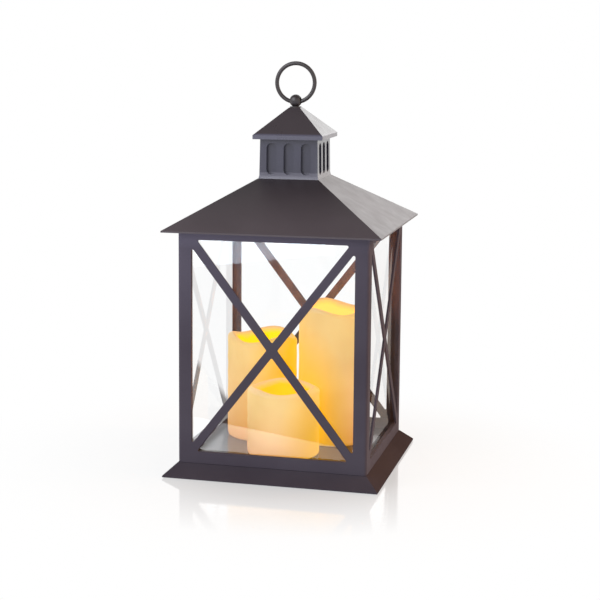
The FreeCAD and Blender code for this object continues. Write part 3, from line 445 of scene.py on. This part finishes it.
def pane_material():
    """Thin clear pane: see-through, with a mirror share where a ray meets it, and a painted reflection
    inside, a pale veil that glows.
    """
    shader = Shader("pane_clear")
    shader.tree.nodes.remove(shader.surface)
    paths = shader.node("LightPath").outputs
    geometry = shader.node("NewGeometry").outputs
    unmet = shader.maths("MAXIMUM", paths["Is Shadow Ray"], paths["Is Diffuse Ray"])
    unmet = shader.maths("MAXIMUM", unmet, geometry["Backfacing"])
    met = shader.maths("SUBTRACT", 1.0, unmet)
    slant = shader.node("LayerWeight", {"Blend": 0.5}).outputs["Facing"]

    tint = shader.ramp(shader.noise(scale=35.0, detail=5.0), (0.994, 0.998, 0.998), WHITE)
    clear = shader.node("BsdfTransparent", {"Color": tint}).outputs["BSDF"]
    gloss = shader.node("BsdfGlossy", {"Color": WHITE, "Roughness": 0.0}).outputs["BSDF"]
    mirror = shader.span(shader.maths("POWER", slant, MIRROR_POWER), 0.0, 1.0, PANE_MIRROR, 1.0)
    mirrored = shader.blend(shader.times(mirror, met), clear, gloss)

    # Painted reflection: a pale veil that glows white on the inner faces at a slant, weaker below a tilted
    # edge
    outward = shader.vector("DOT_PRODUCT", geometry["Normal"], shader.coords).outputs["Value"]
    inside = shader.maths("LESS_THAN", outward, 0.0)
    depth = shader.times(shader.axis(shader.coords, "Y"), VEIL_TILT)
    level = shader.maths("ADD", shader.axis(shader.coords, "Z"), depth)
    kept = shader.span(level, VEIL_EDGE - VEIL_SOFT, VEIL_EDGE + VEIL_SOFT, VEIL_LOW, 1.0)
    slant_veil = shader.times(shader.maths("POWER", slant, VEIL_POWER), PAINTED_VEIL)
    veil = shader.times(shader.maths("MINIMUM", slant_veil, VEIL_MOST), inside, kept, met)
    shader.put(shader.blend(veil, mirrored, shader.glow(WHITE, VEIL_GLOW)), shader.output)
    return shader.material


def wax_material(name, low, high):
    """Warm wax with a painted glow for the led's light inside it: weaker and browner at the foot, a paler
    painted highlight at the rim, and deeper towards the other candles.
    """
    shader = Shader("wax_" + name)
    mottle = shader.noise(scale=45.0, detail=4.0)
    wax = shader.ramp(mottle, *WAX)
    height = shader.axis(shader.coords, "Z")
    glow = shader.ramp(shader.span(height, low, high, 0.0, 1.0), *WAX_GLOW, low_at=0.05, high_at=0.85)
    # Painted highlight on the rim's crest, as a paler glow
    glow = shader.mix(shader.span(height, high - RIM_HIGHLIGHT_DEPTH, high, 0.0, RIM_HIGHLIGHT_SHARE), glow, RIM_HIGHLIGHT)
    # Painted shade and glow near the other candles: a deeper glow, and a wax colour that stands for the
    # shade there
    for place, shares in CLOSE_SHADE_PLACES:
        if name in shares:
            offset = shader.vector("SUBTRACT", shader.coords, place).outputs["Vector"]
            squashed = shader.vector("MULTIPLY", offset, CLOSE_STRETCH).outputs["Vector"]
            near = shader.span(shader.length(squashed), CLOSE_NEAR, CLOSE_FAR, shares[name], 0.0)
            glow = shader.mix(near, glow, CLOSE_PAINTED_GLOW)
            wax = shader.mix(near, wax, CLOSE_PAINTED_SHADE)
    cloud = shader.vary(shader.noise(scale=30.0, detail=2.0), 0.94, 1.05)
    shader.set(Base_Color=wax, Emission_Color=glow, Emission_Strength=cloud)
    shader.set(Roughness=shader.vary(mottle, 0.42, 0.55), Specular_IOR_Level=0.35)
    shader.bump(shader.noise(scale=110.0), distance=0.4 * MM, strength=0.35)
    return shader.material


def well_material(name):
    """Inside of a melted top: tan by the rim, and a painted pool of light, bright yellow, where the led
    shines on the wax.
    """
    shader = Shader("well_" + name)
    depth = shader.axis(shader.node("UVMap").outputs["UV"], "Y")
    wavy = shader.maths("ADD", depth, shader.vary(shader.noise(scale=60.0), -0.08, 0.08))
    glow = shader.ramp(wavy, WELL_RIM, WELL_GLOWS[name], low_at=0.06, high_at=0.36)
    shader.set(Base_Color=shader.ramp(wavy, *WELL_LIT_WAX, low_at=0.04, high_at=0.3))
    shader.set(Emission_Color=glow, Emission_Strength=1.0, Roughness=0.7, Specular_IOR_Level=0.05)
    shader.bump(shader.noise(scale=120.0), distance=0.4 * MM, strength=0.4)
    return shader.material


def led_material():
    """Warm dome that shines by itself, a little unevenly."""
    shader = Shader("led_glow")
    glow = shader.ramp(shader.noise(scale=300.0), (1.0, 0.75, 0.2), (1.0, 0.85, 0.4))
    shader.set(Base_Color=(1.0, 0.85, 0.4), Roughness=0.2, Emission_Color=glow, Emission_Strength=4.0)
    return shader.material


def dress(names, material):
    """Gives the named pieces one material in place of any that they have."""
    for name in names:
        slots = nodes[name].data.materials
        slots.clear()
        slots.append(material)


# Case coat, with painted light on the front frame under the eave
case_coat = coated(
    "case_coat",
    (0.080, 0.066, 0.087),
    (0.096, 0.081, 0.104),
    roughness=0.65,
    specular=0.08,
    painted_lighting=eave_painted_light,
)
# Roof coat, with a painted shade on the roof's front towards the turret
roof_coat = coated(
    "roof_coat",
    (0.074, 0.056, 0.066),
    (0.089, 0.069, 0.081),
    roughness=0.4,
    specular=0.5,
    lacquer=0.42,
    haze=0.36,
    painted_lighting=roof_painted_shade,
)
# Cap coat, with a painted highlight on its foot band
cap_coat = coated(
    "cap_coat",
    (0.040, 0.029, 0.036),
    (0.050, 0.036, 0.044),
    roughness=0.3,
    specular=0.7,
    lacquer=0.49,
    haze=0.2,
    painted_lighting=band_painted_highlight("cap_roof", CAP_BAND, CAP_BAND_HIGHLIGHT),
)
# Turret coat, with a painted highlight on its foot band
turret_coat = coated(
    "turret_coat",
    (0.046, 0.044, 0.074),
    (0.058, 0.056, 0.092),
    roughness=0.35,
    specular=0.4,
    lacquer=0.75,
    haze=0.2,
    painted_lighting=band_painted_highlight("vent_turret", TURRET_BAND, TURRET_BAND_HIGHLIGHT),
)
plinth_coat = coated(
    "plinth_coat", (0.068, 0.056, 0.070), (0.082, 0.068, 0.083), roughness=0.8, specular=0.0
)
deck_coat = coated("deck_coat", (0.045, 0.038, 0.038), (0.060, 0.050, 0.050), roughness=0.14, specular=0.5)
ring_coat = coated("ring_coat", (0.034, 0.027, 0.028), (0.05, 0.04, 0.042), roughness=0.3, specular=0.6)
cover_grain = plastic(
    "cover_grain", (0.025, 0.024, 0.026), (0.04, 0.038, 0.04), roughness=0.55, grain=0.08 * MM
)
pale_plastic = plastic(
    "pale_plastic", (0.55, 0.54, 0.5), (0.66, 0.65, 0.62), roughness=0.5, grain=0.05 * MM
)
holder_plastic = plastic(
    "holder_plastic", (0.62, 0.57, 0.46), (0.72, 0.66, 0.54), roughness=0.5, grain=0.05 * MM
)
foot_rubber = plastic(
    "foot_rubber", (0.018, 0.018, 0.019), (0.03, 0.03, 0.031), roughness=0.8, grain=0.1 * MM
)
cell_wrap = plastic("cell_wrap", (0.03, 0.05, 0.14), (0.04, 0.07, 0.18), roughness=0.3, grain=0.01 * MM)
board_green = plastic("board_green", (0.02, 0.09, 0.04), (0.03, 0.12, 0.05), roughness=0.4, grain=0.02 * MM)
black_parts = plastic(
    "black_parts", (0.02, 0.02, 0.02), (0.03, 0.03, 0.03), roughness=0.45, grain=0.03 * MM
)
lead_skin = plastic("lead_skin", (0.2, 0.02, 0.02), (0.28, 0.03, 0.03), roughness=0.4, grain=0.02 * MM)
zinc = metal("zinc", (0.45, 0.46, 0.48), (0.6, 0.6, 0.62), roughness=0.35)
nickel = metal("nickel", (0.6, 0.59, 0.57), (0.75, 0.74, 0.72), roughness=0.2)

dress(FRAMES, case_coat)
dress(PANES, pane_material())
dress(["plinth"], plinth_coat)
dress(["deck"], deck_coat)
dress(["ceiling_panel", "main_roof"], roof_coat)
dress(["vent_turret"], turret_coat)
dress(["cap_roof"], cap_coat)
dress(["finial", "hang_ring"], ring_coat)
dress(["bottom_cover", "battery_door"], cover_grain)
dress(["switch_knob"], pale_plastic)
dress(["feet"], foot_rubber)
dress(["battery_1", "battery_2", "battery_3"], cell_wrap)
dress(["contact_plates", "contact_springs"], nickel)
dress(["circuit_board"], board_green)
dress(["board_components", "switch_slider"], black_parts)
dress(["switch_body", "finial_nut", "finial_washer"], zinc)
dress(["battery_leads", "led_leads"], lead_skin)
dress([name for name in nodes if name.endswith("_screws")], zinc)
dress(["candle_%s_holder" % name for name in CANDLES], holder_plastic)
dress(["candle_%s_led" % name for name in CANDLES], led_material())


# Soft edges on the mouldings that come from the frame


def soften(names, width):
    """Rounds the named pieces' edges, and keeps their flats flat."""
    for name in names:
        piece = nodes[name]
        weld = piece.modifiers.new("weld", "WELD")
        weld.merge_threshold = WELD_GAP
        bevel = piece.modifiers.new("bevel", "BEVEL")
        bevel.width = width
        bevel.segments = SOFT_SEGMENTS
        bevel.limit_method = "ANGLE"
        bevel.angle_limit = SOFT_ANGLE
        piece.modifiers.new("flat", "WEIGHTED_NORMAL")
        piece.data.polygons.foreach_set("use_smooth", [True] * len(piece.data.polygons))
        piece.data.update()


soften(FRAMES, width=0.45 * MM)
soften(["plinth", "main_roof", "cap_roof"], width=0.5 * MM)
soften(["vent_turret"], width=0.35 * MM)
soften(["bottom_cover", "battery_door", "switch_knob"], width=0.25 * MM)


# Candles


def rim_rise(melted, angle):
    """Height of the melted rim over its mean: one slow tilt, and the soft lobes round the candle."""
    tilt = melted["tilt"] * math.cos(angle - math.radians(melted["tilt_to"]))
    lobes = melted["lobes"] * math.cos(LOBES * (angle - math.radians(melted["lobe_at"])))
    return tilt + lobes


def rim_wall(melted, angle):
    """Thickness of the wall at the rim, which differs round the candle."""
    wave = WALL_WAVE * math.sin(WALL_WAVES * angle + melted["wall_phase"])
    return RIM_WALL * (1 + wave + WALL_RIPPLE * math.sin(WALL_RIPPLES * angle))


def candle_section(rim, base, radius, well_floor, wall):
    """Half section as (radius, height), from the foot up the side, over the rim and down into the well."""
    points = []
    side_foot = base + FOOT_ROUND
    side_top = rim - RIM_ROUND
    crest = radius - wall * CREST_SHARE
    lip = radius - wall
    for step in range(FOOT_STEPS + 1):
        turn = QUARTER_TURN * step / FOOT_STEPS
        points.append((radius - FOOT_ROUND * (1 - math.sin(turn)), side_foot - FOOT_ROUND * math.cos(turn)))
    for step in range(1, SIDE_STEPS + 1):
        points.append((radius, side_foot + (side_top - side_foot) * step / SIDE_STEPS))
    for step in range(1, RIM_STEPS + 1):
        turn = QUARTER_TURN * step / RIM_STEPS
        points.append((crest + (radius - crest) * math.cos(turn), side_top + RIM_ROUND * math.sin(turn)))
    for step in range(1, LIP_STEPS + 1):
        turn = LIP_TURN * step / LIP_STEPS
        points.append((crest - (crest - lip) * math.sin(turn), rim - LIP_FALL * (1 - math.cos(turn))))
    well_radius, well_top = points[-1]
    for step in range(1, WELL_STEPS + 1):
        share = step / WELL_STEPS
        height = well_top - (well_top - well_floor) * share
        points.append((well_radius - WELL_TAPER * share**WELL_BOW, height))
    floor_radius = points[-1][0]
    for step in range(1, DISH_STEPS + 1):
        share = step / DISH_STEPS
        height = well_floor - DISH * math.sin(math.pi * share)
        points.append((floor_radius + (LED_HOLE - floor_radius) * share, height))
    return points


def candle_ring(mesh, melted, low, high, angle):
    """Vertices of a candle's section at an angle round it, each with its depth below the rim there."""
    centre_x, centre_y = (low.x + high.x) / 2, (low.y + high.y) / 2
    radius = (high.x - low.x) / 2
    rim = high.z + melted["mean"] + rim_rise(melted, angle)
    wall = rim_wall(melted, angle)
    ring = []
    for reach, height in candle_section(rim, low.z, radius, high.z - WELL_DEPTH, wall):
        if reach > radius - wall / 2:
            reach -= HOLLOW * (1 + math.sin(HOLLOWS * angle + HOLLOW_TWIST * height))
        place = (centre_x + reach * math.cos(angle), centre_y + reach * math.sin(angle), height)
        ring.append((mesh.verts.new(place), rim - height))
    return ring


def candle(name):
    """Wax shell as one skin: rounded foot, side, rolled melted rim, tapering well and its floor."""
    low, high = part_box("candle_%s_wax" % name)
    mesh = bmesh.new()
    uv = mesh.loops.layers.uv.new("UVMap")
    angles = [2 * math.pi * i / CANDLE_SIDES for i in range(CANDLE_SIDES)]
    rings = [candle_ring(mesh, RIMS[name], low, high, angle) for angle in angles]
    for i in range(CANDLE_SIDES):
        here, after = rings[i], rings[(i + 1) % CANDLE_SIDES]
        for row in range(len(here) - 1):
            corners = (here[row], after[row], after[row + 1], here[row + 1])
            face = mesh.faces.new([vert for vert, depth in corners])
            face.smooth = True
            face.material_index = 0 if row < OUTER_ROWS else 1
            for loop, (vert, depth) in zip(face.loops, corners):
                loop[uv].uv = (i / CANDLE_SIDES, depth / WELL_DEPTH)
    data = bpy.data.meshes.new("candle_%s" % name)
    mesh.to_mesh(data)
    mesh.free()
    piece = bpy.data.objects.new("candle_%s" % name, data)
    scene.collection.objects.link(piece)
    data.materials.append(wax_material(name, low.z, high.z))
    data.materials.append(well_material(name))
    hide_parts("candle_%s_wax" % name)
    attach(piece, "lantern")


for name in CANDLES:
    candle(name)


# Studio


def link_lamp(name, lamp, energy, colour):
    """Puts a lamp into the scene and gives back the object that holds it."""
    lamp.energy = energy
    lamp.color = colour
    holder = bpy.data.objects.new(name, lamp)
    scene.collection.objects.link(holder)
    return holder


def area_lamp(name, size, power, colour):
    """Rectangular lamp, not placed yet."""
    lamp = bpy.data.lights.new(name, "AREA")
    lamp.shape = "RECTANGLE"
    lamp.size, lamp.size_y = size
    return link_lamp(name, lamp, power, colour)


def aimed_lamp(name, place, target, size, power, colour):
    """Soft rectangular lamp that shines from its place at the target."""
    holder = area_lamp(name, size, power, colour)
    holder.location = place
    holder.rotation_mode = "QUATERNION"
    holder.rotation_quaternion = (Vector(target) - Vector(place)).to_track_quat("-Z", "Y")
    return holder


def only_on(holder, group, names):
    """The lamp lights the named pieces alone."""
    if group not in bpy.data.collections:
        made = bpy.data.collections.new(group)
        for name in names:
            made.objects.link(nodes[name])
    holder.light_linking.receiver_collection = bpy.data.collections[group]


def led_lamp(name):
    """Warm light that a candle's led throws out of its well onto the case."""
    low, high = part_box("candle_%s_wax" % name)
    lamp = bpy.data.lights.new("glow_" + name, "POINT")
    lamp.shadow_soft_size = LED_SOFT
    holder = link_lamp("glow_" + name, lamp, LED_POWER, LED_COLOUR)
    holder.location = ((low.x + high.x) / 2, (low.y + high.y) / 2, high.z + LED_ABOVE)
    holder.visible_glossy = False
    only_on(holder, "case_lit", FRAMES + ["ceiling_panel"])


def mirror_sheet(name, edge_ends, reach, margin, strength, colour, fade=(1.0, 1.0)):
    """Bright upright sheet that only the front pane mirrors.

    Its straight edge runs between two ends, given in x and z, and a margin beyond them. The sheet reaches up
    from that edge, or down where reach is negative. Its strength runs from the first share of fade to the
    second along the edge.
    """
    start, end = (Vector((x, SHEET_Y, z)) for x, z in edge_ends)
    edge = (end - start).normalized()
    rise = Vector((-edge.z, 0, edge.x))
    size = ((end - start).length + 2 * margin, abs(reach))
    holder = area_lamp(name, size, strength * math.pi * size[0] * size[1], colour)
    turn = Matrix((edge, rise, (0, -1, 0))).transposed().to_4x4()
    holder.matrix_world = Matrix.Translation((start + end) / 2 + rise * reach / 2) @ turn
    holder.visible_diffuse = False
    holder.visible_camera = False
    holder.data.spread = SHEET_SPREAD
    holder.data.use_nodes = True
    tree = Tree(holder.data.node_tree)
    along = tree.axis(tree.node("NewGeometry").outputs["Parametric"], "X")
    tree.put(tree.span(along, 0.0, 1.0, *fade), tree.tree.nodes["Emission"].inputs["Strength"])
    only_on(holder, "mirrors", ["front_pane"])


def floor_seen(shader, away):
    """Floor as the camera sees it: white, with the lantern's shadow and a soft sheen close to it."""
    near = shader.maths("POWER", shader.span(away, SHADE_NEAR, SHADE_FAR, 1.0, 0.0), SHADE_POWER)
    shader.set(Base_Color=(0.95, 0.95, 0.95), Roughness=0.6, Specular_IOR_Level=0.0)
    white = shader.glow(WHITE, shader.span(near, 0.0, 1.0, 1.0, FLOOR_LIFT))
    shaded = shader.blend(shader.times(near, FLOOR_SHADE), white, shader.surface.outputs["BSDF"])
    sheen = shader.node("BsdfGlossy", {"Color": WHITE, "Roughness": 0.07}).outputs["BSDF"]
    return shader.blend(shader.span(away, SHEEN_NEAR, SHEEN_FAR, FLOOR_SHEEN, 0.0), shaded, sheen)


def floor_mirrored(shader, away):
    """Floor as glossy pieces mirror it: cool in front and warm behind the lantern, white far away."""
    depth = shader.span(shader.axis(shader.coords, "Y"), TONE_FRONT, TONE_BACK, 0.0, 1.0)
    tone = shader.ramp(depth, *FLOOR_TONES, low_at=0.0, high_at=1.0)
    return shader.glow(shader.mix(shader.span(away, TONE_NEAR, TONE_FAR, 0.0, 1.0), tone, WHITE), 1.0)


def floor_material():
    """Pale floor with its looks for the camera, for glossy pieces and as plain light, clear from below."""
    shader = Shader("floor_white")
    away = shader.length(shader.coords)
    paths = shader.node("LightPath").outputs
    bounce = shader.glow(WHITE, FLOOR_BOUNCE)
    indirect = shader.blend(paths["Is Glossy Ray"], bounce, floor_mirrored(shader, away))
    top = shader.blend(paths["Is Camera Ray"], indirect, floor_seen(shader, away))
    under = shader.node("BsdfTransparent", {"Color": WHITE}).outputs["BSDF"]
    below = shader.node("NewGeometry").outputs["Backfacing"]
    shader.put(shader.blend(below, top, under), shader.output)
    return shader.material


def floor():
    """One large square under the lantern."""
    mesh = bmesh.new()
    corners = ((-1, -1), (1, -1), (1, 1), (-1, 1))
    mesh.faces.new([mesh.verts.new((x * FLOOR_HALF, y * FLOOR_HALF, 0)) for x, y in corners])
    data = bpy.data.meshes.new("floor")
    mesh.to_mesh(data)
    mesh.free()
    piece = bpy.data.objects.new("floor", data)
    scene.collection.objects.link(piece)
    data.materials.append(floor_material())


def world():
    """White surroundings, weaker as light on the object, and darker overhead for all but the camera."""
    made = bpy.data.worlds.new("studio")
    scene.world = made
    made.use_nodes = True
    tree = Tree(made.node_tree)
    back = made.node_tree.nodes["Background"]
    paths = tree.node("LightPath").outputs
    seen = tree.maths("MAXIMUM", paths["Is Camera Ray"], paths["Is Glossy Ray"])
    seen = tree.maths("MAXIMUM", seen, paths["Is Transmission Ray"])
    strength = tree.span(seen, 0.0, 1.0, WORLD_LIGHT, 1.0)
    height = tree.axis(tree.node("TexCoord").outputs["Generated"], "Z")
    dim = tree.span(height, OVERHEAD_START, OVERHEAD_END, 1.0, OVERHEAD)
    dim = tree.maths("MAXIMUM", paths["Is Camera Ray"], dim)
    tree.put(WHITE, back.inputs["Color"])
    tree.put(tree.times(strength, dim), back.inputs["Strength"])


def camera():
    """Camera at the photograph's viewing angle."""
    level = Vector((-math.sin(CAMERA_YAW), math.cos(CAMERA_YAW), 0))
    forward = level * math.cos(CAMERA_PITCH) - Vector((0, 0, math.sin(CAMERA_PITCH)))
    right = Vector((math.cos(CAMERA_YAW), math.sin(CAMERA_YAW), 0))
    up = right.cross(forward)
    made = bpy.data.cameras.new("camera")
    made.sensor_width = SENSOR_WIDTH
    made.lens = SENSOR_WIDTH * FOCAL_PIXELS / PHOTO_SIDE
    made.shift_x = (PHOTO_SIDE / 2 - PRINCIPAL_U) / PHOTO_SIDE
    made.shift_y = (PRINCIPAL_V - PHOTO_SIDE / 2) / PHOTO_SIDE
    holder = bpy.data.objects.new("camera", made)
    turn = Matrix((right, up, -forward)).transposed().to_4x4()
    place = right * CAMERA_RIGHT + up * CAMERA_UP - forward * CAMERA_BACK + Vector((0, 0, CAMERA_LIFT))
    holder.matrix_world = Matrix.Translation(place) @ turn
    scene.collection.objects.link(holder)
    scene.camera = holder


floor()
world()
camera()
aimed_lamp(
    "key",
    place=(-1.1, -1.5, 1.5),
    target=(0, 0, 0.2),
    size=(2.0, 2.0),
    power=32.0,
    colour=(0.90, 0.93, 1.0),
)
fill = aimed_lamp(
    "fill",
    place=(1.6, 0.3, 0.9),
    target=(0, 0, 0.2),
    size=(1.0, 1.0),
    power=19.0,
    colour=(1.0, 0.50, 0.15),
)
fill.visible_glossy = False
for name in CANDLES:
    led_lamp(name)
aimed_lamp(
    "back",
    place=(0.65, 2.8, 1.25),
    target=(0, 0, 0.3),
    size=BACK_SIZE,
    power=BACK_SHEEN * math.pi * BACK_SIZE[0] * BACK_SIZE[1],
    colour=WHITE,
)
mirror_sheet(
    "low_sheet",
    LOW_EDGE,
    reach=-60 * MM,
    margin=20 * MM,
    strength=1.15,
    colour=(0.92, 0.95, 1.0),
    fade=(2.6, 0.75),
)
mirror_sheet(
    "high_sheet",
    HIGH_EDGE,
    reach=60 * MM,
    margin=60 * MM,
    strength=3.1,
    colour=(0.66, 0.82, 1.0),
)
